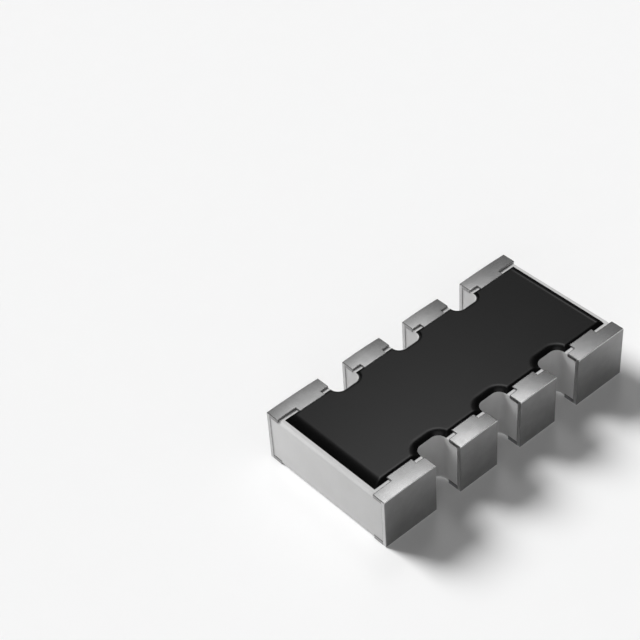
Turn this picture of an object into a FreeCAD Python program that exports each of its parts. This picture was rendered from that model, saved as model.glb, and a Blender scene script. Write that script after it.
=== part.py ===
import FreeCAD, Part
import math
import os

# Resistor network: four thick-film resistors side by side on one notched ceramic chip.
# Each element ends in a plated terminal on either long side, so there are eight terminals.
# X runs along the row of terminals, Y from the near row to the far row, Z up.
# The origin is under the middle of the chip, on the plane that the terminals stand on.
# Every size is in millimetres.

# Row of terminals along the chip
terminal_count = 4
terminal_pitch = 0.80
end_overhang = 0.395

# Ceramic chip
chip_width = 1.556
chip_thickness = 0.556
end_bevel = 0.023

# Notches between the terminals
notch_width = 0.32
notch_depth = 0.268
notch_radius = 0.09

# Metal layers of a terminal, from the ceramic outwards
silver_thickness = 0.008
nickel_thickness = 0.006
tin_thickness = 0.008

# Silver wrapped round the chip's long edge, and the tin that seals it
top_wrap = 0.119
bottom_wrap = 0.127
lip_thickness = 0.005
lip_reach = 0.023
outer_edge_radius = 0.010
flange_corner_radius = 0.016

# Printed silver electrodes
electrode_length = 0.42
electrode_inset_notch = 0.109
electrode_inset_end = 0.238
pad_length = 0.10
pad_inset = 0.06

# Resistor films with their glass and laser trim
film_thickness = 0.006
film_inset = 0.02
film_overlap = 0.06
film_step = 0.012
glass_thickness = 0.004
glass_margin = 0.015
trim_kerf = 0.03
trim_plunge = 0.09
trim_run = 0.18
trim_offset = 0.10

# Black protective coat
coat_thickness = 0.022
coat_rim = 0.004
coat_shoulder = 0.10
coat_end_margin = 0.058
coat_side_margin = 0.17
tab_recess = 0.026

# Cutting tools stand this far past what they cut
overshoot = 0.05

# Places worked out from the sizes above
terminal_wall = silver_thickness + nickel_thickness + tin_thickness
chip_bottom = terminal_wall
chip_top = chip_bottom + chip_thickness
chip_length = (terminal_count - 1) * terminal_pitch + 2 * end_overhang
chip_edge = chip_width / 2
notch_back = chip_edge - notch_depth
coat_edge = chip_edge - coat_side_margin
coat_end = chip_length / 2 - coat_end_margin
tab_end = coat_edge - tab_recess
electrode_end = chip_edge - electrode_length
film_end = electrode_end + film_overlap


def point(x, y, z):
    return FreeCAD.Vector(x, y, z)


def block(x_range, y_range, z_range):
    size = [high - low for low, high in (x_range, y_range, z_range)]
    return Part.makeBox(*size, point(x_range[0], y_range[0], z_range[0]))


def line(start, end):
    return Part.LineSegment(start, end).toShape()


def corner_arc(start, end, centre, radius):
    """Quarter arc that bulges away from its centre."""
    middle = (start + end) * 0.5 - centre
    middle.normalize()
    return Part.Arc(start, centre + middle * radius, end).toShape()


def mirrored(shape):
    """The same shape on the near side, at -Y."""
    return shape.mirror(point(0, 0, 0), point(0, 1, 0))


def terminal_centre(index):
    return (index - (terminal_count - 1) / 2) * terminal_pitch


def ear_range(index):
    """Ends in X of the ceramic ear that carries a terminal."""
    half_ear = (terminal_pitch - notch_width) / 2
    left = terminal_centre(index) - half_ear
    right = terminal_centre(index) + half_ear
    if index == 0:
        left = -chip_length / 2
    if index == terminal_count - 1:
        right = chip_length / 2
    return left, right


def electrode_range(index):
    """Ends in X of a printed electrode: it is set in further from the chip's end."""
    left, right = ear_range(index)
    left += electrode_inset_end if index == 0 else electrode_inset_notch
    right -= electrode_inset_end if index == terminal_count - 1 else electrode_inset_notch
    return left, right


# Ceramic chip

def corner_radius():
    """Radius of a notch's back corners, which its width limits."""
    return min(notch_radius, 0.49 * notch_width)


def make_notch(index):
    """Air of the far notch after a terminal, right through the chip."""
    middle = terminal_centre(index) + terminal_pitch / 2
    half = notch_width / 2
    notch = block(
        (middle - half, middle + half),
        (notch_back, chip_edge + overshoot),
        (chip_bottom - overshoot, chip_top + overshoot),
    )
    back_edges = [
        edge for edge in notch.Edges
        if abs(edge.tangentAt(edge.FirstParameter).z) > 0.99
        and abs(edge.CenterOfMass.y - notch_back) < 1e-6
    ]
    return notch.makeFillet(corner_radius(), back_edges)


def make_chip():
    half_length = chip_length / 2
    chip = block((-half_length, half_length), (-chip_edge, chip_edge), (chip_bottom, chip_top))
    end_edges = [
        edge for edge in chip.Edges
        if abs(abs(edge.CenterOfMass.x) - half_length) < 1e-6 and abs(edge.CenterOfMass.z - chip_top) < 1e-6
    ]
    chip = chip.makeChamfer(end_bevel, end_edges)
    tools = []
    for index in range(terminal_count - 1):
        notch = make_notch(index)
        tools += [notch, mirrored(notch)]
    return chip.cut(tools)


# Printed silver electrodes

def make_top_electrode(index):
    height = (chip_top, chip_top + silver_thickness)
    return block(electrode_range(index), (electrode_end, chip_edge), height)


def make_bottom_electrode(index):
    left, right = ear_range(index)
    return block(
        (left + pad_inset, right - pad_inset),
        (chip_edge - pad_length, chip_edge),
        (chip_bottom - silver_thickness, chip_bottom),
    )


# Resistor films, their glass and the laser trim

def draped(x_range, end, thickness):
    """Film on the ceramic, across the chip, that climbs onto the electrode at each end."""
    high = chip_top + thickness
    under = [
        (end, chip_top + silver_thickness),
        (electrode_end, chip_top + silver_thickness),
        (electrode_end, chip_top),
    ]
    over = [
        (electrode_end - film_step, high),
        (electrode_end, high + silver_thickness),
        (end, high + silver_thickness),
    ]
    section = under + [(-y, z) for y, z in reversed(under)] + [(-y, z) for y, z in reversed(over)] + over
    corners = [point(x_range[0], y, z) for y, z in section]
    outline = Part.makePolygon(corners + corners[:1])
    return Part.Face(outline).extrude(point(x_range[1] - x_range[0], 0, 0))


def film_range(index):
    left, right = electrode_range(index)
    return left + film_inset, right - film_inset


def trim_cut(index):
    """L-shaped kerf: in from the element's side, then along the current's path."""
    left = film_range(index)[0]
    turn = left + trim_plunge
    height = (chip_top, chip_top + coat_thickness + overshoot)
    plunge = block((left - glass_margin - overshoot, turn), (-trim_offset, trim_kerf - trim_offset), height)
    run = block((turn - trim_kerf, turn), (-trim_offset, trim_run - trim_offset), height)
    return plunge.fuse(run)


def make_film(index):
    return draped(film_range(index), film_end, film_thickness).cut(trim_cut(index))


def make_glass(index, covered):
    """Glass round and over the film, cut to the pieces that it covers and by the same trim."""
    left, right = film_range(index)
    sides = (left - glass_margin, right + glass_margin)
    sheet = draped(sides, film_end + glass_margin, film_thickness + glass_thickness)
    return sheet.cut(covered + [trim_cut(index)])


# Layers of a terminal

def wrap(index, growth, lip):
    """Metal round the chip's long edge: a strip on top, a wall outside and a foot below.

    growth is how far it stands off the ceramic. lip is how far it stands off the ear's side walls.
    """
    tip_growth = growth - silver_thickness
    top_tip = chip_edge - top_wrap - tip_growth
    bottom_tip = chip_edge - bottom_wrap - tip_growth
    outer = chip_edge + growth
    high = chip_top + growth
    low = chip_bottom - growth
    radius = outer_edge_radius * growth / terminal_wall
    left, right = ear_range(index)
    start = left - lip
    corners = [
        point(start, top_tip, high),
        point(start, outer - radius, high),
        point(start, outer, high - radius),
        point(start, outer, low + radius),
        point(start, outer - radius, low),
        point(start, bottom_tip, low),
        point(start, bottom_tip, chip_bottom + lip_reach),
        point(start, chip_edge - lip_reach, chip_bottom + lip_reach),
        point(start, chip_edge - lip_reach, chip_top - lip_reach),
        point(start, top_tip, chip_top - lip_reach),
    ]
    edges = [line(first, second) for first, second in zip(corners, corners[1:] + corners[:1])]
    edges[1] = corner_arc(corners[1], corners[2], point(start, outer - radius, high - radius), radius)
    edges[3] = corner_arc(corners[3], corners[4], point(start, outer - radius, low + radius), radius)
    solid = Part.Face(Part.Wire(edges)).extrude(point(right - left + 2 * lip, 0, 0))
    if lip > 0:
        tips = [
            edge for edge in solid.Edges
            if abs(edge.tangentAt(edge.FirstParameter).z) > 0.99
            and min(abs(edge.CenterOfMass.y - top_tip), abs(edge.CenterOfMass.y - bottom_tip)) < 1e-6
        ]
        solid = solid.makeFillet(flange_corner_radius, tips)
    return solid


def tab(index, growth):
    """Plating over the part of the top electrode that the coat leaves bare."""
    left, right = electrode_range(index)
    side_growth = growth - silver_thickness
    return block(
        (left - side_growth, right + side_growth), (tab_end, chip_edge), (chip_top, chip_top + growth)
    )


def make_terminal(index, chip):
    """The far terminal's five pieces, each cut to the ones under it."""
    top_electrode = make_top_electrode(index)
    bottom_electrode = make_bottom_electrode(index)
    silver = wrap(index, silver_thickness, 0)
    plated = silver_thickness + nickel_thickness
    nickel = wrap(index, plated, 0).fuse(tab(index, plated))
    tin = wrap(index, terminal_wall, lip_thickness).fuse(tab(index, terminal_wall))
    return {
        "top_electrode": top_electrode,
        "bottom_electrode": bottom_electrode,
        "edge_silver": silver.cut([chip, top_electrode, bottom_electrode]),
        "nickel_barrier": nickel.cut([chip, silver, top_electrode]).removeSplitter(),
        "tin_plating": tin.cut([chip, nickel]).removeSplitter(),
    }


# Black protective coat

def shoulder_rise(distance):
    """Height of the coat's top over the ceramic, at a distance inside its rim, up to the flat."""
    rise = coat_thickness - coat_rim
    radius = (coat_shoulder ** 2 + rise ** 2) / (2 * rise)
    return coat_thickness - radius + math.sqrt(radius ** 2 - (coat_shoulder - distance) ** 2)


def dome_section(half_width, place):
    """Section across the coat: upright rims, rounded shoulders and a flat top."""
    flat = half_width - coat_shoulder
    bend = half_width - coat_shoulder / 2
    left = [place(-half_width, 0), place(-half_width, coat_rim), place(-flat, coat_thickness)]
    right = [place(flat, coat_thickness), place(half_width, coat_rim), place(half_width, 0)]
    bend_height = shoulder_rise(coat_shoulder / 2)
    edges = [
        line(left[0], left[1]),
        Part.Arc(left[1], place(-bend, bend_height), left[2]).toShape(),
        line(left[2], right[0]),
        Part.Arc(right[0], place(bend, bend_height), right[1]).toShape(),
        line(right[1], right[2]),
        line(right[2], left[0]),
    ]
    return Part.Face(Part.Wire(edges))


def flare_section(reach, place):
    """Half section of the air over a notch: straight to the coat's rim, then flaring over its shoulder."""
    floor = -overshoot
    ceiling = coat_thickness + overshoot
    brim = reach + coat_shoulder
    corners = [
        place(0, floor),
        place(reach, floor),
        place(reach, coat_rim),
        place(brim, coat_thickness),
        place(brim, ceiling),
        place(0, ceiling),
    ]
    edges = [line(first, second) for first, second in zip(corners, corners[1:] + corners[:1])]
    bend = place(reach + coat_shoulder / 2, shoulder_rise(coat_shoulder / 2))
    edges[2] = Part.Arc(corners[2], bend, corners[3]).toShape()
    return Part.Face(Part.Wire(edges))


def flared_notch(index):
    """Air over the far notch after a terminal: the coat rounds down to the notch's edge all along it."""
    middle = terminal_centre(index) + terminal_pitch / 2
    radius = corner_radius()
    half = notch_width / 2
    flat = half - radius
    turn = notch_back + radius
    mouth = chip_edge + overshoot
    pieces = []
    for side in (-1, 1):
        pivot = middle + side * flat
        corner = flare_section(radius, lambda away, up: point(pivot + away, turn, chip_top + up))
        wall = flare_section(half, lambda away, up: point(middle + side * away, turn, chip_top + up))
        pieces.append(corner.revolve(point(pivot, turn, 0), point(0, 0, 1), 360))
        pieces.append(wall.extrude(point(0, mouth - turn, 0)))
    back = flare_section(radius, lambda away, up: point(middle - flat, turn - away, chip_top + up))
    pieces.append(back.extrude(point(2 * flat, 0, 0)))
    return pieces[0].fuse(pieces[1:]).removeSplitter()


def make_coat(covered):
    """Sheet with rounded shoulders that follows the notches and fills round what it covers."""
    along = dome_section(coat_edge, lambda across, up: point(-coat_end, across, chip_top + up))
    across = dome_section(coat_end, lambda along, up: point(along, -coat_edge, chip_top + up))
    coat = along.extrude(point(2 * coat_end, 0, 0)).common(across.extrude(point(0, 2 * coat_edge, 0)))
    tools = []
    for index in range(terminal_count - 1):
        notch = flared_notch(index)
        tools += [notch, mirrored(notch)]
    for index in range(terminal_count):
        recess = tab(index, terminal_wall + overshoot)
        tools += [recess, mirrored(recess)]
    return coat.cut(tools).cut(covered)


def save(shape, name):
    solids = shape.Solids
    if len(solids) != 1 or not shape.isValid():
        print("check", name, "solids", len(solids), "valid", shape.isValid())
    solids[0].exportStep("parts/" + name + ".step")


def main():
    os.makedirs("parts", exist_ok=True)
    chip = make_chip()
    save(chip, "ceramic_chip")
    covered = []
    for index in range(terminal_count):
        number = str(index + 1)
        pieces = make_terminal(index, chip)
        for kind, far_piece in pieces.items():
            near_piece = mirrored(far_piece)
            save(far_piece, kind + "_far_" + number)
            save(near_piece, kind + "_near_" + number)
            if kind != "bottom_electrode":
                covered += [far_piece, near_piece]
        film = make_film(index)
        glass = make_glass(index, [film, pieces["top_electrode"], mirrored(pieces["top_electrode"])])
        save(film, "resistor_film_" + number)
        save(glass, "glass_overcoat_" + number)
        covered += [film, glass]
    save(make_coat(covered), "protective_coat")


main()
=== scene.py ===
import math

import bmesh
import bpy
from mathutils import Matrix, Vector
from mathutils.geometry import delaunay_2d_cdt


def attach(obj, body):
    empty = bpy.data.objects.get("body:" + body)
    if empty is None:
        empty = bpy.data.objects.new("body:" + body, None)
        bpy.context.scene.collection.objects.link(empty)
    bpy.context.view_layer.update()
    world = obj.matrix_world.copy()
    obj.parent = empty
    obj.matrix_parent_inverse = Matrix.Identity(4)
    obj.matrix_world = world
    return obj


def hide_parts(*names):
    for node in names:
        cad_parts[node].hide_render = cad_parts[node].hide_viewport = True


# Sizes are in millimetres, as in the part's source, and MM brings them to metres.
MM = 0.001

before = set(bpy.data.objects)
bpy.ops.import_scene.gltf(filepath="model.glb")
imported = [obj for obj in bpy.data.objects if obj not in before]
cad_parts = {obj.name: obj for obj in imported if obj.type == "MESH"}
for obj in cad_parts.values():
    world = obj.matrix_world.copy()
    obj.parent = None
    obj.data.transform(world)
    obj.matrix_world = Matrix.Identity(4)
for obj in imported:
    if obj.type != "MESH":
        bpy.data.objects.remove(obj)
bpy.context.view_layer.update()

# Axes, and the distances, angles and parts of a unit normal by which edges and faces are told apart
X, Y, Z = range(3)
TINY = 1e-6
SHARP = math.radians(20)
FLAT = 0.01
ALONG = 0.99
ON_AXIS = 0.999
FACING = 0.9
SLANTED = 0.05

# Chip, with X and Y from its middle and Z from the terminals' feet
PITCH = 0.80
COUNT = 4
CHIP_END = 1.595
CHIP_EDGE = 0.778
CHIP_LOW = 0.022
CHIP_TOP = 0.578
END_BEVEL = 0.023
CHIP_ROUNDING = 0.004
NOTCH_HALF = 0.16
NOTCH_BACK = 0.51
NOTCH_RADIUS = 0.09
CHIP_NOTCH_STEPS = 10

# Tin of a terminal: how far it stands out from the chip, where its top, foot and tab end, how far the tab
# stays back from the ear's sides, and the width of the bands beside its outer wall
WALL = 0.022
LIP = 0.005
TOP_TIP = 0.645
FOOT_TIP = 0.637
TAB_TIP = 0.582
TAB_INSET_NOTCH = 0.095
TAB_INSET_END = 0.224
BAND = 0.045

# Places of the bands, the outer edge of the top and the outer wall in a terminal's list of materials; the
# bands and the edge take lighter tin, painted highlight
BAND_PLACE, EDGE_PLACE, WALL_PLACE = 1, 2, 3

# Roundings of the tin
ROUNDING_SEGMENTS = 4
TIP_CORNER_ROUNDING = 0.012
OUTER_ROUNDING = 0.006
TIP_ROUNDING = 0.009
SIDE_ROUNDING = 0.007
CONVEX_ROUNDING = 0.004
INNER_ROUNDING = 0.002

# Swell of the tin: its fall over the top in X and in Y and over the outer wall in X, the Y of the top's
# highest line and the reach to its edge, the spans of Z and Y in which the top and the wall begin, and the
# widths of the slices that carry the swell
CROWN_ACROSS = 0.006
CROWN_DEEP = 0.0008
CROWN_FRONT = 0.0006
CROWN_MIDDLE = 0.72
CROWN_REACH = 0.08
TOP_SPAN = (0.57, 0.59)
WALL_SPAN = (0.77, 0.79)
SLICE_ACROSS = 0.06
SLICE_DEEP = 0.04

# Coat: its rim in plan, its height over the chip inside and at the rim
COAT_LEFT = -1.537
COAT_RIGHT = 1.529
COAT_EDGE = 0.608
COAT_THICKNESS = 0.022
COAT_RIM = 0.002

# Widths of the coat's rounded shoulders and the powers of their curves
SHOULDER_LEFT = 0.13
SHOULDER_NEAR = 0.065
SHOULDER_NEAR_NOTCH = 0.082
SHOULDER_FAR = 0.028
LEFT_POWER = 1.5
SIDE_POWER = 1.9
NOTCH_POWER = 1.7

# Low ridge along the coat's right rim: its crest's distance from the rim, its inner width, height and end
# taper, and the slope of the coat outside the crest
RIDGE_REACH = 0.040
RIDGE_WIDTH = 0.020
RIDGE_HEIGHT = 0.0018
RIDGE_TAPER = 0.05
RIDGE_SLOPE = 0.17

# Points of the coat: steps round a notch's corner, spacing on the rim and on the shoulders, and the stride
# at which the flat middle keeps them
COAT_NOTCH_STEPS = 12
RIM_STEP = 0.012
GRID_STEP = 0.010
FLAT_STRIDE = 6


def ear(index):
    """Ends in X of the ear that carries a terminal."""
    centre = (index - (COUNT - 1) / 2) * PITCH
    left = centre - (PITCH / 2 - NOTCH_HALF)
    right = centre + (PITCH / 2 - NOTCH_HALF)
    if index == 0:
        left = -CHIP_END
    if index == COUNT - 1:
        right = CHIP_END
    return left, right


def tab_ends(index):
    """Ends in X of the tab on an ear."""
    left, right = ear(index)
    left += TAB_INSET_END if index == 0 else TAB_INSET_NOTCH
    right -= TAB_INSET_END if index == COUNT - 1 else TAB_INSET_NOTCH
    return left, right


def notch_centres():
    return [(index - (COUNT - 2) / 2) * PITCH for index in range(COUNT - 1)]


def notch_outline(centre, steps):
    """Points of a far notch from its left mouth round to its right mouth."""
    points = [(centre - NOTCH_HALF, CHIP_EDGE)]
    turn = NOTCH_BACK + NOTCH_RADIUS
    for side, start in ((-1, math.pi), (1, 1.5 * math.pi)):
        pivot = centre + side * (NOTCH_HALF - NOTCH_RADIUS)
        for step in range(steps + 1):
            angle = start + 0.5 * math.pi * step / steps
            points.append((pivot + NOTCH_RADIUS * math.cos(angle), turn + NOTCH_RADIUS * math.sin(angle)))
    points.append((centre + NOTCH_HALF, CHIP_EDGE))
    return points


def with_near_half(far):
    """Outline of the whole piece from that of its far half."""
    return far + [(x, -y) for x, y in reversed(far)]


def ramp(value, low, high):
    """Smooth rise from 0 to 1 between two values."""
    share = min(1.0, max(0.0, (value - low) / (high - low)))
    return share * share * (3 - 2 * share)


# Meshes

def object_from(bm, name, materials):
    """A Blender object from a mesh built in millimetres."""
    bmesh.ops.scale(bm, vec=(MM, MM, MM), verts=bm.verts)
    mesh = bpy.data.meshes.new(name)
    bm.to_mesh(mesh)
    bm.free()
    obj = bpy.data.objects.new(name, mesh)
    bpy.context.scene.collection.objects.link(obj)
    for material in materials:
        mesh.materials.append(material)
    return obj


def smooth(obj):
    for polygon in obj.data.polygons:
        polygon.use_smooth = True


def any_edge(edge):
    return True


def is_convex(edge):
    return edge.is_convex


def edge_test(axis, end_test):
    """Test that an edge passes if it runs along the axis and each of its ends passes a test of its own."""
    def test(edge):
        way = (edge.verts[1].co - edge.verts[0].co).normalized()
        return abs(way[axis]) > ALONG and all(end_test(vert.co) for vert in edge.verts)

    return test


def bevelled(bm, widths):
    """Rounds the sharp edges. Each gets the width that stands with the first test it passes."""
    mesh = bpy.data.meshes.new("rounding")
    weights = bm.edges.layers.float.new("bevel_weight_edge")
    widest = max(width for _, width in widths)
    for edge in bm.edges:
        edge[weights] = 0.0
        if len(edge.link_faces) == 2 and edge.calc_face_angle(0) > SHARP:
            for test, width in widths:
                if test(edge):
                    edge[weights] = width / widest
                    break
    bm.to_mesh(mesh)
    bm.free()
    obj = bpy.data.objects.new("rounding", mesh)
    bpy.context.scene.collection.objects.link(obj)
    rounding = obj.modifiers.new("rounding", "BEVEL")
    rounding.limit_method = "WEIGHT"
    rounding.width = widest
    rounding.segments = ROUNDING_SEGMENTS
    bpy.context.view_layer.update()
    done = bpy.data.meshes.new_from_object(obj.evaluated_get(bpy.context.evaluated_depsgraph_get()))
    bpy.data.objects.remove(obj)
    bpy.data.meshes.remove(mesh)
    result = bmesh.new()
    result.from_mesh(done)
    bpy.data.meshes.remove(done)
    return result


def make_ceramic(material):
    """The notched chip, with a bevel along the top of each end."""
    far = [(-CHIP_END, CHIP_EDGE)]
    for centre in notch_centres():
        far += notch_outline(centre, CHIP_NOTCH_STEPS)
    far.append((CHIP_END, CHIP_EDGE))
    outline = with_near_half(far)
    bm = bmesh.new()
    low = [bm.verts.new((x, y, CHIP_LOW)) for x, y in outline]
    high = [bm.verts.new((x, y, CHIP_TOP)) for x, y in outline]
    bm.faces.new(high[::-1])
    bm.faces.new(low)
    for index in range(len(outline)):
        after = (index + 1) % len(outline)
        bm.faces.new((low[after], low[index], high[index], high[after]))
    bmesh.ops.recalc_face_normals(bm, faces=bm.faces)

    def at_top_end(co):
        return abs(abs(co.x) - CHIP_END) < TINY and co.z > CHIP_TOP - TINY

    is_end = edge_test(Y, at_top_end)
    ends = [edge for edge in bm.edges if is_end(edge)]
    bmesh.ops.bevel(bm, geom=ends, offset=END_BEVEL, segments=1, affect="EDGES")
    bm = bevelled(bm, [(any_edge, CHIP_ROUNDING)])
    obj = object_from(bm, "ceramic_body", [material])
    smooth(obj)
    obj.modifiers.new("weighted normals", "WEIGHTED_NORMAL")
    return obj


def make_cells(xs, ys, zs, filled):
    """Closed mesh round the filled cells of a grid."""
    bm = bmesh.new()
    corners = {}

    def corner(i, j, k):
        if (i, j, k) not in corners:
            corners[i, j, k] = bm.verts.new((xs[i], ys[j], zs[k]))
        return corners[i, j, k]

    def is_filled(i, j, k):
        inside = 0 <= i < len(xs) - 1 and 0 <= j < len(ys) - 1 and 0 <= k < len(zs) - 1
        return inside and filled(i, j, k)

    sides = [
        ((-1, 0, 0), ((0, 0, 0), (0, 0, 1), (0, 1, 1), (0, 1, 0))),
        ((1, 0, 0), ((1, 0, 0), (1, 1, 0), (1, 1, 1), (1, 0, 1))),
        ((0, -1, 0), ((0, 0, 0), (1, 0, 0), (1, 0, 1), (0, 0, 1))),
        ((0, 1, 0), ((0, 1, 0), (0, 1, 1), (1, 1, 1), (1, 1, 0))),
        ((0, 0, -1), ((0, 0, 0), (0, 1, 0), (1, 1, 0), (1, 0, 0))),
        ((0, 0, 1), ((0, 0, 1), (1, 0, 1), (1, 1, 1), (0, 1, 1))),
    ]
    for i in range(len(xs) - 1):
        for j in range(len(ys) - 1):
            for k in range(len(zs) - 1):
                if not is_filled(i, j, k):
                    continue
                for (di, dj, dk), ring in sides:
                    if not is_filled(i + di, j + dj, k + dk):
                        bm.faces.new([corner(i + a, j + b, k + c) for a, b, c in ring])
    bm.normal_update()
    flat = [
        edge for edge in bm.edges
        if len(edge.link_faces) == 2 and edge.calc_face_angle(0) < FLAT
    ]
    bmesh.ops.dissolve_edges(bm, edges=flat, use_verts=True)
    bm.normal_update()
    return bm


def sliced(bm, axis, low, high, step):
    """Cuts the mesh across an axis at even steps, so that its faces can be crowned."""
    count = max(1, round((high - low) / step))
    normal = [0, 0, 0]
    normal[axis] = 1
    for index in range(1, count):
        place = [0, 0, 0]
        place[axis] = low + (high - low) * index / count
        geometry = bm.verts[:] + bm.edges[:] + bm.faces[:]
        bmesh.ops.bisect_plane(bm, geom=geometry, dist=TINY, plane_co=place, plane_no=normal)


class Crown:
    """Slight swell of a far terminal: its top falls away on all sides, its outer wall to both ends."""

    def __init__(self, middle, half):
        self.middle = middle
        self.half = half

    def deep(self, co):
        return max(-1.0, (co.y - CROWN_MIDDLE) / CROWN_REACH)

    def shift(self, co):
        """Move of a vertex at a place."""
        across = ((co.x - self.middle) / self.half) ** 2
        deep = self.deep(co) ** 2
        top_share = ramp(co.z, *TOP_SPAN)
        wall_share = ramp(co.y, *WALL_SPAN)
        fall = (CROWN_ACROSS * across + CROWN_DEEP * deep) * top_share
        return Vector((0, -CROWN_FRONT * across * wall_share, -fall))

    def normal(self, vert):
        """Normal at a vertex, leaned by the swell: its largest face's, or all its faces' on a rounding."""
        normal = max(vert.link_faces, key=bmesh.types.BMFace.calc_area).normal.copy()
        if max(abs(part) for part in normal) < ON_AXIS:
            weighted = (face.normal * face.calc_area() for face in vert.link_faces)
            normal = sum(weighted, Vector()).normalized()
        lean_x = 2 * (vert.co.x - self.middle) / self.half ** 2
        lean_y = 2 * self.deep(vert.co) / CROWN_REACH
        top_share = normal.z * ramp(vert.co.z, *TOP_SPAN)
        wall_share = normal.y * ramp(vert.co.y, *WALL_SPAN)
        normal.x += (CROWN_ACROSS * top_share + CROWN_FRONT * wall_share) * lean_x
        normal.y += CROWN_DEEP * top_share * lean_y
        return normal.normalized()


def make_terminal(index, row, materials):
    """Tin round one ear: a strip with its tab on top, an outer wall, a foot and bands beside the wall."""
    left, right = ear(index)
    tab_left, tab_right = tab_ends(index)
    outer = CHIP_EDGE + WALL
    top = CHIP_TOP + WALL
    xs = [left - LIP, tab_left, tab_right, right + LIP]
    ys = [TAB_TIP, FOOT_TIP, TOP_TIP, outer - BAND, outer]
    zs = [0, BAND, top - BAND, top]

    def filled(i, j, k):
        """Cells of tin: i goes across the tab, j from the tab's tip to the outer wall, and k up."""
        if j == 3:
            return True
        if k == 2:
            return j == 2 or i == 1
        return k == 0 and j >= 1

    def at_tip_corner(co):
        return co.y < TOP_TIP + TINY and not left < co.x < right

    def at_outer_wall(co):
        return co.y > outer - TINY

    def at_top_tip(co):
        return co.y < TOP_TIP + TINY and co.z > top - TINY

    def at_top(co):
        return co.z > top - TINY

    bm = make_cells(xs, ys, zs, filled)
    bm = bevelled(bm, [
        (edge_test(Z, at_tip_corner), TIP_CORNER_ROUNDING),
        (edge_test(Z, at_outer_wall), OUTER_ROUNDING),
        (edge_test(X, at_outer_wall), OUTER_ROUNDING),
        (edge_test(X, at_top_tip), TIP_ROUNDING),
        (edge_test(Y, at_top), SIDE_ROUNDING),
        (is_convex, CONVEX_ROUNDING),
        (any_edge, INNER_ROUNDING),
    ])
    sliced(bm, X, left - LIP, right + LIP, SLICE_ACROSS)
    sliced(bm, Y, TOP_TIP, outer, SLICE_DEEP)
    crown = Crown((left + right) / 2, (right - left) / 2 + LIP)
    normals = [crown.normal(vert) for vert in bm.verts]
    for vert in bm.verts:
        vert.co += crown.shift(vert.co)
    if row == "near":
        bmesh.ops.scale(bm, vec=(1, -1, 1), verts=bm.verts)
        bmesh.ops.reverse_faces(bm, faces=bm.faces)
        normals = [(x, -y, z) for x, y, z in normals]
    # The bands and the top's outer edge get lighter copies of the tin, which are painted highlight; the
    # outer wall gets a rougher tin of the same tone
    for face in bm.faces:
        if abs(face.calc_center_median().y) < outer - BAND:
            continue
        if abs(face.normal.x) > FACING:
            face.material_index = BAND_PLACE
        elif min(face.normal.z, abs(face.normal.y)) > SLANTED:
            face.material_index = EDGE_PLACE
        elif abs(face.normal.y) > FACING:
            face.material_index = WALL_PLACE
    obj = object_from(bm, f"tin_terminal_{row}_{index + 1}", materials)
    smooth(obj)
    obj.data.normals_split_custom_set_from_vertices(normals)
    return obj


def coat_rise(distance, shoulder, power):
    """Height of the coat over the ceramic, at a distance inside its rim."""
    outward = 1 - min(max(0.0, distance), shoulder) / shoulder
    return COAT_THICKNESS - (COAT_THICKNESS - COAT_RIM) * outward ** power


def ridge_rise(x, y):
    """Rise of the low ridge that the print left along its right end."""
    distance = COAT_RIGHT - x
    inner = ramp(RIDGE_REACH + RIDGE_WIDTH - distance, 0, RIDGE_WIDTH)
    outer = ramp(distance, 0, RIDGE_REACH)
    return RIDGE_HEIGHT * inner * outer * ramp(COAT_EDGE - abs(y), 0, RIDGE_TAPER)


def notch_distance(x, y):
    """Distance from the nearest notch's edge, outside it."""
    flat = NOTCH_HALF - NOTCH_RADIUS
    inward = max(0.0, NOTCH_BACK + NOTCH_RADIUS - abs(y))
    sideways = min(max(0.0, abs(x - centre) - flat) for centre in notch_centres())
    return math.hypot(sideways, inward) - NOTCH_RADIUS


def near_tab(x, y, margin):
    for index in range(COUNT):
        tab_left, tab_right = tab_ends(index)
        if tab_left - margin < x < tab_right + margin and abs(y) > TAB_TIP - margin:
            return True
    return False


def coat_height(x, y):
    """Height of the coat's top over the ceramic."""
    side = SHOULDER_FAR if y > 0 else SHOULDER_NEAR
    notch = SHOULDER_FAR if y > 0 else SHOULDER_NEAR_NOTCH
    inside = min(
        coat_rise(x - COAT_LEFT, SHOULDER_LEFT, LEFT_POWER),
        COAT_THICKNESS - RIDGE_SLOPE * max(0.0, RIDGE_REACH - (COAT_RIGHT - x)),
        coat_rise(COAT_EDGE - abs(y), side, SIDE_POWER),
        coat_rise(notch_distance(x, y), notch, NOTCH_POWER),
    )
    return inside + ridge_rise(x, y)


def coat_outline():
    """Far half of the coat's rim: it follows the notches and stands back from each tab."""
    far = [(COAT_LEFT, COAT_EDGE)]
    for index in range(COUNT):
        tab_left, tab_right = tab_ends(index)
        far += [(tab_left, COAT_EDGE), (tab_left, TAB_TIP), (tab_right, TAB_TIP), (tab_right, COAT_EDGE)]
        if index < COUNT - 1:
            centre = notch_centres()[index]
            far.append((centre - NOTCH_HALF, COAT_EDGE))
            far += [(x, y) for x, y in notch_outline(centre, COAT_NOTCH_STEPS) if y < COAT_EDGE - TINY]
            far.append((centre + NOTCH_HALF, COAT_EDGE))
    far.append((COAT_RIGHT, COAT_EDGE))
    return far


def divided(outline, step):
    """Points round an outline, no further apart than a step."""
    points = []
    for first, second in zip(outline, outline[1:] + outline[:1]):
        parts = max(1, math.ceil(math.dist(first, second) / step))
        for part in range(parts):
            share = part / parts
            points.append(Vector([a + (b - a) * share for a, b in zip(first, second)]))
    return points


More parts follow.
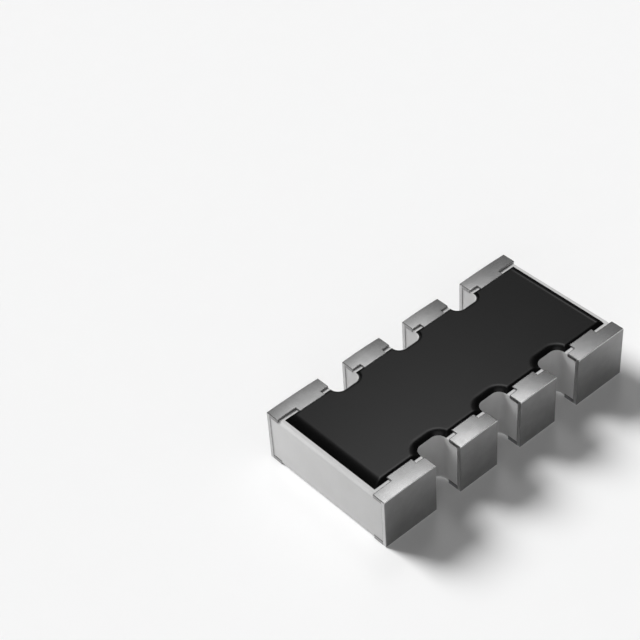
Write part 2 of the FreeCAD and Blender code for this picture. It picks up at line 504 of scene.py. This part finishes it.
def inner_points():
    """Points inside the coat's rim, close together on the shoulders and far apart on the flat middle."""
    points = []
    columns = int((COAT_RIGHT - COAT_LEFT) / GRID_STEP)
    rows = int(2 * COAT_EDGE / GRID_STEP)
    for column in range(1, columns):
        for row in range(1, rows):
            x = COAT_LEFT + (COAT_RIGHT - COAT_LEFT) * (column + 0.5 * (row % 2)) / columns
            y = -COAT_EDGE + 2 * COAT_EDGE * row / rows
            depth = min(x - COAT_LEFT, COAT_RIGHT - x, COAT_EDGE - abs(y), notch_distance(x, y))
            if depth < 0.5 * GRID_STEP or near_tab(x, y, 0.5 * GRID_STEP):
                continue
            is_flat = depth > SHOULDER_LEFT + 2 * GRID_STEP
            if is_flat and (column % FLAT_STRIDE or row % FLAT_STRIDE):
                continue
            points.append(Vector((x, y)))
    return points


def make_coat(material):
    """The coat: a domed skin over its outline, closed by a rim wall and a flat base on the ceramic."""
    rim_points = divided(with_near_half(coat_outline()), RIM_STEP)
    rim_count = len(rim_points)
    rim_edges = [(index, (index + 1) % rim_count) for index in range(rim_count)]
    verts, _, faces, *_ = delaunay_2d_cdt(
        rim_points + inner_points(), rim_edges, [list(range(rim_count))], 1, TINY
    )
    bm = bmesh.new()
    top = [bm.verts.new((v.x, v.y, CHIP_TOP + coat_height(v.x, v.y))) for v in verts]
    for face in faces:
        bm.faces.new([top[index] for index in face])
    bmesh.ops.recalc_face_normals(bm, faces=bm.faces)
    if sum(face.normal.z for face in bm.faces) < 0:
        bmesh.ops.reverse_faces(bm, faces=bm.faces)
    # The wall is built edge by edge, so that each run gives its faces in the same order
    rim = [edge for edge in bm.edges if edge.is_boundary]
    below = {}
    for edge in rim:
        for vert in edge.verts:
            if vert not in below:
                below[vert] = bm.verts.new((vert.co.x, vert.co.y, CHIP_TOP))
    for edge in rim:
        loop = edge.link_loops[0]
        first, second = loop.vert, loop.link_loop_next.vert
        bm.faces.new((second, first, below[first], below[second]))
        edge.smooth = False
    bmesh.ops.holes_fill(bm, edges=[edge for edge in bm.edges if edge.is_boundary])
    obj = object_from(bm, "coat_skin", [material])
    smooth(obj)
    return obj


# Materials

# Noise of the slow patches and of the fine grain: its detail and roughness, and the span of its values that
# counts
PATCH_NOISE = (4.0, 0.5)
PATCH_SPAN = (0.35, 0.65)
GRAIN_NOISE = (5.0, 0.6)
GRAIN_SPAN = (0.3, 0.7)

# Scales of the patches and the grain on plated metal
PLATING_SCALES = (9000, 60000)


class Graph:
    """Short calls to build one node tree."""

    def __init__(self, tree):
        self.tree = tree
        self.tree.nodes.clear()

    def fill(self, socket, value):
        """Gives a socket a link or a value of its own."""
        if isinstance(value, bpy.types.NodeSocket):
            self.tree.links.new(value, socket)
        else:
            socket.default_value = value

    def node(self, kind, inputs=(), **settings):
        made = self.tree.nodes.new(kind)
        for name, value in settings.items():
            setattr(made, name, value)
        for name, value in dict(inputs).items():
            self.fill(made.inputs[name], value)
        return made

    def calculate(self, operation, *values):
        return self.node("ShaderNodeMath", dict(enumerate(values)), operation=operation).outputs[0]

    def dot(self, first, second):
        made = self.node("ShaderNodeVectorMath", {0: first, 1: second}, operation="DOT_PRODUCT")
        return made.outputs["Value"]

    def noise(self, place, scale, detail, roughness):
        made = self.node(
            "ShaderNodeTexNoise",
            {"Vector": place, "Scale": scale, "Detail": detail, "Roughness": roughness},
        )
        return made.outputs["Fac"]

    def spread(self, value, span, levels, interpolation="LINEAR"):
        """Level that goes from one to another as a value goes through its span."""
        made = self.node(
            "ShaderNodeMapRange",
            {
                "Value": value,
                "From Min": span[0],
                "From Max": span[1],
                "To Min": levels[0],
                "To Max": levels[1],
            },
            interpolation_type=interpolation,
        )
        return made.outputs["Result"]

    def step(self, value, span, levels=(0.0, 1.0)):
        """The same with a soft start and end."""
        return self.spread(value, span, levels, "SMOOTHSTEP")

    def choose(self, flag, unset, when_set):
        """One level where a flag is 0 and another where it is 1."""
        return self.spread(flag, (0.0, 1.0), (unset, when_set))

    def blend(self, factor, first, second):
        """Mix of two colours, with sockets by number, because the node has others of the same name."""
        made = self.node("ShaderNodeMix", {0: factor, 6: first, 7: second}, data_type="RGBA")
        return made.outputs[2]

    def output(self, kind, shader):
        """Links a shader to an output node of a kind."""
        out = self.node(kind)
        self.tree.links.new(shader.outputs[0], out.inputs["Surface"])


def grey(level, warm=0.0):
    return (level * (1 + warm), level, level * (1 - warm), 1.0)


def surface(name, tones, scales, grain, roughness, metallic=0.0, specular=0.5):
    """A finish with slow patches between two tones, and a fine grain in its relief and its gloss.

    scales are those of the patches and the grain, and grain is the depth of the relief.
    """
    material = bpy.data.materials.new(name)
    material.use_nodes = True
    graph = Graph(material.node_tree)
    place = graph.node("ShaderNodeTexCoord").outputs["Object"]
    patches = graph.noise(place, scales[0], *PATCH_NOISE)
    fine = graph.noise(place, scales[1], *GRAIN_NOISE)
    tone = graph.blend(graph.spread(patches, PATCH_SPAN, (0.0, 1.0)), *tones)
    gloss = graph.spread(fine, GRAIN_SPAN, roughness)
    relief = graph.node("ShaderNodeBump", {"Strength": 1.0, "Distance": grain * MM, "Height": fine})
    shader = graph.node(
        "ShaderNodeBsdfPrincipled",
        {
            "Base Color": tone,
            "Metallic": metallic,
            "Roughness": gloss,
            "Specular IOR Level": specular,
            "Normal": relief.outputs["Normal"],
        },
    )
    graph.output("ShaderNodeOutputMaterial", shader)
    return material


def tin_surface(name, dark, light, grain, roughness):
    return surface(name, (grey(dark), grey(light)), PLATING_SCALES, grain, roughness, metallic=1.0)


ceramic = surface(
    "fired alumina",
    tones=(grey(0.52, 0.003), grey(0.545, 0.002)),
    scales=(4000, 40000),
    grain=0.0003,
    roughness=(0.50, 0.62),
    specular=0.4,
)
coat = surface(
    "black epoxy",
    tones=(grey(0.0009), grey(0.0014)),
    scales=(3000, 50000),
    grain=0.00002,
    roughness=(0.20, 0.23),
    specular=0.23,
)
tin = tin_surface("matte tin plating", 0.265, 0.293, 0.00003, (0.20, 0.25))
# Side bands: the satin roughness is real, but the lighter tone is painted highlight
tin_band_painted_highlight = tin_surface("satin tin plating with painted highlight", 0.50, 0.54, 0.0002, (0.35, 0.42))
# Top's rounded outer edge: a much lighter tin that is painted highlight, in place of a light
tin_edge_painted_highlight = tin_surface("tin edge painted highlight", 0.72, 0.78, 0.00003, (0.25, 0.32))
tin_wall = tin_surface("satin tin wall", 0.265, 0.293, 0.00003, (0.44, 0.50))
nickel = surface(
    "nickel barrier",
    tones=(grey(0.50, 0.03), grey(0.55, 0.03)),
    scales=PLATING_SCALES,
    grain=0.0003,
    roughness=(0.30, 0.40),
    metallic=1.0,
)
silver = surface(
    "fired silver",
    tones=(grey(0.68, 0.02), grey(0.74, 0.02)),
    scales=(9000, 50000),
    grain=0.0008,
    roughness=(0.40, 0.55),
    metallic=1.0,
)
film = surface(
    "fired resistor film",
    tones=(grey(0.05), grey(0.08)),
    scales=(8000, 40000),
    grain=0.0006,
    roughness=(0.30, 0.45),
)
glass = surface(
    "fired glass",
    tones=((0.16, 0.22, 0.18, 1.0), (0.22, 0.30, 0.25, 1.0)),
    scales=(8000, 30000),
    grain=0.0003,
    roughness=(0.12, 0.2),
)

# Finish of each CAD node, by the start of its name
FINISHES = {
    "resistor_film": film,
    "glass_overcoat": glass,
    "top_electrode": silver,
    "bottom_electrode": silver,
    "edge_silver": silver,
    "nickel_barrier": nickel,
    "tin_plating": tin,
    "ceramic_chip": ceramic,
    "protective_coat": coat,
}

for name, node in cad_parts.items():
    for start, finish in FINISHES.items():
        if name.startswith(start):
            node.data.materials.clear()
            node.data.materials.append(finish)

body = make_ceramic(ceramic)
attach(body, "root")
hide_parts("ceramic_chip")

skin = make_coat(coat)
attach(skin, "root")
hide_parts("protective_coat")

for row in ("far", "near"):
    for index in range(COUNT):
        terminal = make_terminal(index, row, [tin, tin_band_painted_highlight, tin_edge_painted_highlight, tin_wall])
        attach(terminal, "root")
        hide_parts(f"tin_plating_{row}_{index + 1}")


# Studio

# Floor: half of its side, its level, its two tones and the noise that mixes them
FLOOR_HALF = 1200
FLOOR_LEVEL = -0.002
FLOOR_TONES = (grey(0.865), grey(0.875))
FIBRE_SCALE = 3000
FIBRE_NOISE = (3.0, 0.5)

# Distances within which the floor lets through the rays that see and those that light. The object stands on
# it, so the underside would otherwise be dark in views from below.
CLEAR_TO_SIGHT = 0.008
CLEAR_TO_LIGHT = 0.05

# Levels of the sky: at the horizon, as it lights the object, as metal and gloss show it, in the shade round
# the softboxes, and overhead. The spans are of a direction's height, and for the shade of its closeness to
# the middle.
HORIZON = 1.0
HORIZON_SPAN = (0.10, 0.30)
SKY_LIGHT = 0.19
SKY_SEEN = 0.50
SHADE = 0.05
SHADE_SPAN = (math.cos(math.radians(64)), math.cos(math.radians(48)))
OVERHEAD = 0.9
OVERHEAD_SPAN = (math.sin(math.radians(70)), math.sin(math.radians(80)))

# Softboxes: the azimuth and elevation of their middle, which is the shade's too, how far their long side is
# tipped up to the left, and for each its edges along and across, and its level. The edges are the angles
# from the middle at which the light starts, is full, starts to fall and ends.
SOFTBOX_AZIMUTH = 45.2
SOFTBOX_ELEVATION = 44.0
SOFTBOX_TURN = 37.0
SOFTBOXES = [
    ((-5.0, 4.5, 8.0, 15.0), (-5.0, 8.5, 12.0, 18.0), 4.5),
    ((-20.0, -12.0, 8.0, 15.0), (-20.0, -10.0, 12.0, 18.0), 0.30),
]

# Least depth in front of a softbox, which keeps the slopes to its sides finite behind it
LEAST_DEPTH = 0.2

# Suns: name, azimuth, elevation, width, level of a white face turned to it. The key sun's is set by that of
# a white floor.
KEY_ELEVATION = 39
KEY_ON_FLOOR = 0.82
SUNS = [
    ("key", 105, KEY_ELEVATION, 26, KEY_ON_FLOOR / math.sin(math.radians(KEY_ELEVATION))),
    ("fill", 220, 22, 30, 0.08),
]

# Camera: its direction and roll in degrees, its place along its own back, right and up, and its lens
CAMERA_AZIMUTH = -38.8966
CAMERA_ELEVATION = 42.121
CAMERA_ROLL = -4.414
CAMERA_BACK = 16.3685
CAMERA_RIGHT = -1.2546
CAMERA_UP = 0.911
CAMERA_SENSOR = 36
CAMERA_LENS = 94.398
CAMERA_CLIP = (0.5, 5000)


def make_floor():
    bm = bmesh.new()
    bmesh.ops.create_grid(bm, x_segments=1, y_segments=1, size=FLOOR_HALF)
    bmesh.ops.translate(bm, vec=(0, 0, FLOOR_LEVEL), verts=bm.verts)
    material = bpy.data.materials.new("studio paper")
    material.use_nodes = True
    graph = Graph(material.node_tree)
    place = graph.node("ShaderNodeTexCoord").outputs["Object"]
    fibre = graph.noise(place, FIBRE_SCALE, *FIBRE_NOISE)
    tone = graph.blend(fibre, *FLOOR_TONES)
    paper = graph.node(
        "ShaderNodeBsdfPrincipled", {"Base Color": tone, "Roughness": 1.0, "Specular IOR Level": 0.0}
    )
    behind = graph.node("ShaderNodeNewGeometry").outputs["Backfacing"]
    ray = graph.node("ShaderNodeLightPath").outputs
    lights = graph.calculate("ADD", ray["Is Diffuse Ray"], ray["Is Shadow Ray"])
    reach = graph.choose(lights, CLEAR_TO_SIGHT * MM, CLEAR_TO_LIGHT * MM)
    close = graph.calculate("LESS_THAN", ray["Ray Length"], reach)
    through = graph.calculate("MAXIMUM", behind, close)
    clear = graph.node("ShaderNodeBsdfTransparent")
    either = graph.node("ShaderNodeMixShader", {0: through, 1: paper.outputs[0], 2: clear.outputs[0]})
    graph.output("ShaderNodeOutputMaterial", either)
    floor = object_from(bm, "studio_floor", [material])


def direction(azimuth, elevation):
    """Unit vector to a place in the sky: azimuth turns from +X towards +Y."""
    a = math.radians(azimuth)
    e = math.radians(elevation)
    return Vector((math.cos(a) * math.cos(e), math.sin(a) * math.cos(e), math.sin(e)))


def softbox_axes():
    """Directions to the softboxes' middle, along them and across them."""
    forward = direction(SOFTBOX_AZIMUTH, SOFTBOX_ELEVATION)
    left = Vector((0, 0, 1)).cross(forward).normalized()
    up = forward.cross(left)
    t = math.radians(SOFTBOX_TURN)
    return forward, math.cos(t) * left + math.sin(t) * up, math.cos(t) * up - math.sin(t) * left


def window(graph, way, forward, side, edges):
    """Share of a softbox's light along one of its sides."""
    depth = graph.calculate("MAXIMUM", graph.dot(way, forward), LEAST_DEPTH)
    slope = graph.calculate("DIVIDE", graph.dot(way, side), depth)
    start, full, fall, end = (math.tan(math.radians(edge)) for edge in edges)
    return graph.calculate("MULTIPLY", graph.step(slope, (start, full)), graph.step(slope, (end, fall)))


def make_sky():
    world = bpy.data.worlds.new("studio")
    bpy.context.scene.world = world
    world.use_nodes = True
    graph = Graph(world.node_tree)
    way = graph.node("ShaderNodeTexCoord").outputs["Generated"]
    height = graph.node("ShaderNodeSeparateXYZ", {"Vector": way}).outputs["Z"]
    diffuse = graph.node("ShaderNodeLightPath").outputs["Is Diffuse Ray"]
    forward, long_side, short_side = softbox_axes()
    closeness = graph.dot(way, forward)
    open_level = graph.choose(diffuse, SKY_SEEN, SKY_LIGHT)
    overhead_level = graph.choose(diffuse, OVERHEAD, 0.0)
    open_sky = graph.step(closeness, SHADE_SPAN, (open_level, SHADE))
    horizon = graph.step(height, HORIZON_SPAN, (HORIZON - SKY_SEEN, 0.0))
    overhead = graph.step(height, OVERHEAD_SPAN, (0.0, overhead_level))
    total = graph.calculate("ADD", graph.calculate("ADD", open_sky, horizon), overhead)
    for long_edges, short_edges, level in SOFTBOXES:
        first = window(graph, way, forward, long_side, long_edges)
        second = window(graph, way, forward, short_side, short_edges)
        both = graph.calculate("MULTIPLY", first, second)
        total = graph.calculate("MULTIPLY_ADD", both, level, total)
    background = graph.node("ShaderNodeBackground", {"Color": (1, 1, 1, 1), "Strength": total})
    graph.output("ShaderNodeOutputWorld", background)


def make_sun(name, azimuth, elevation, width, level):
    """A sun that lights the object but doesn't show in its gloss."""
    data = bpy.data.lights.new(name, "SUN")
    data.angle = math.radians(width)
    data.energy = level * math.pi
    lamp = bpy.data.objects.new(name, data)
    bpy.context.scene.collection.objects.link(lamp)
    lamp.rotation_mode = "QUATERNION"
    lamp.rotation_quaternion = direction(azimuth, elevation).to_track_quat("Z", "Y")
    lamp.visible_glossy = False


def make_camera():
    azimuth = math.radians(CAMERA_AZIMUTH)
    elevation = math.radians(CAMERA_ELEVATION)
    roll = math.radians(CAMERA_ROLL)
    back = Vector((
        math.sin(azimuth) * math.cos(elevation),
        -math.cos(azimuth) * math.cos(elevation),
        math.sin(elevation),
    ))
    level = Vector((math.cos(azimuth), math.sin(azimuth), 0))
    rise = back.cross(level)
    right = math.cos(roll) * level + math.sin(roll) * rise
    up = math.cos(roll) * rise - math.sin(roll) * level
    place = (CAMERA_BACK * back + CAMERA_RIGHT * right + CAMERA_UP * up) * MM
    data = bpy.data.cameras.new("camera")
    data.sensor_width = CAMERA_SENSOR
    data.lens = CAMERA_LENS
    data.clip_start = CAMERA_CLIP[0] * MM
    data.clip_end = CAMERA_CLIP[1] * MM
    camera = bpy.data.objects.new("camera", data)
    bpy.context.scene.collection.objects.link(camera)
    matrix = camera.matrix_world.copy()
    for axis, column in enumerate((right, up, back, place)):
        for row in range(3):
            matrix[row][axis] = column[row]
    camera.matrix_world = matrix
    bpy.context.scene.camera = camera


make_floor()
make_sky()
for sun in SUNS:
    make_sun(*sun)
make_camera()
bpy.context.scene.view_settings.view_transform = "Standard"

bpy.context.view_layer.update()
